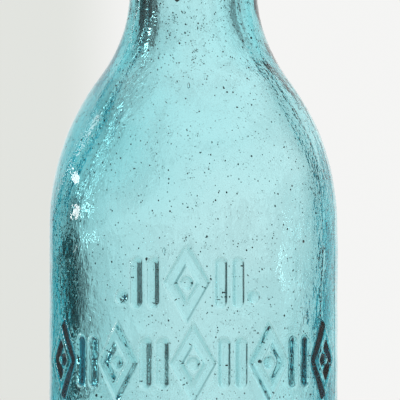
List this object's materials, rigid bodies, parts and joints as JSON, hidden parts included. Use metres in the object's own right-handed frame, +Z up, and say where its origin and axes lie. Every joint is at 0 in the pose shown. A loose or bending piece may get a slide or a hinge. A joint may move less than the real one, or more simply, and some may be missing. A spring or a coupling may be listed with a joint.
{
  "type": "blob top soda bottle",
  "caption": "Thick glass soda bottle with sloping shoulders and a rounded blob lip, closed by a rubber plug on a hinged wire bail that a wire lever pulls tight.",
  "frame": {"origin": "centre of the flat base, on the bottle's axis, at the level of the surface it stands on", "axes": "+Z up along the bottle's axis; the lever stands open at the front, towards -Y, and the bail and stopper lean back towards +Y; the closure's hinges run along X"},
  "size_m": [0.064, 0.0797, 0.1859],
  "materials": {
    "glass": "aqua blown glass with seeds and a whittled surface",
    "tie_wire": "dark annealed iron wire with light rust",
    "closure_wire": "tinned spring wire, dulled",
    "cap_metal": "dull tinned metal",
    "rubber": "aged red rubber",
    "washer_metal": "tarnished brass"
  },
  "bodies": {
    "bottle_body": {"bottle": "glass", "tie_wire": "tie_wire"},
    "lever_body": {"lever": "closure_wire"},
    "bail_body": {"bail": "closure_wire"},
    "stopper_body": {"stopper_cap": "cap_metal", "rubber_plug": "rubber", "foot_washer": "washer_metal", "stopper_spindle": "closure_wire"}
  },
  "joints": [
    {"name": "lever_hinge", "type": "hinge", "parent": "bottle_body", "child": "lever_body", "pos_m": [0, 0, 0.15615], "axis": [1, 0, 0], "range_deg": [-10, 100]},
    {"name": "bail_hinge", "type": "hinge", "parent": "lever_body", "child": "bail_body", "pos_m": [0, -0.00519, 0.15578], "axis": [1, 0, 0], "range_deg": [-23, 80]},
    {"name": "stopper_swing", "type": "hinge", "parent": "bail_body", "child": "stopper_body", "pos_m": [0, 0.03769, 0.16697], "axis": [1, 0, 0], "range_deg": [-77, 140]}
  ]
}
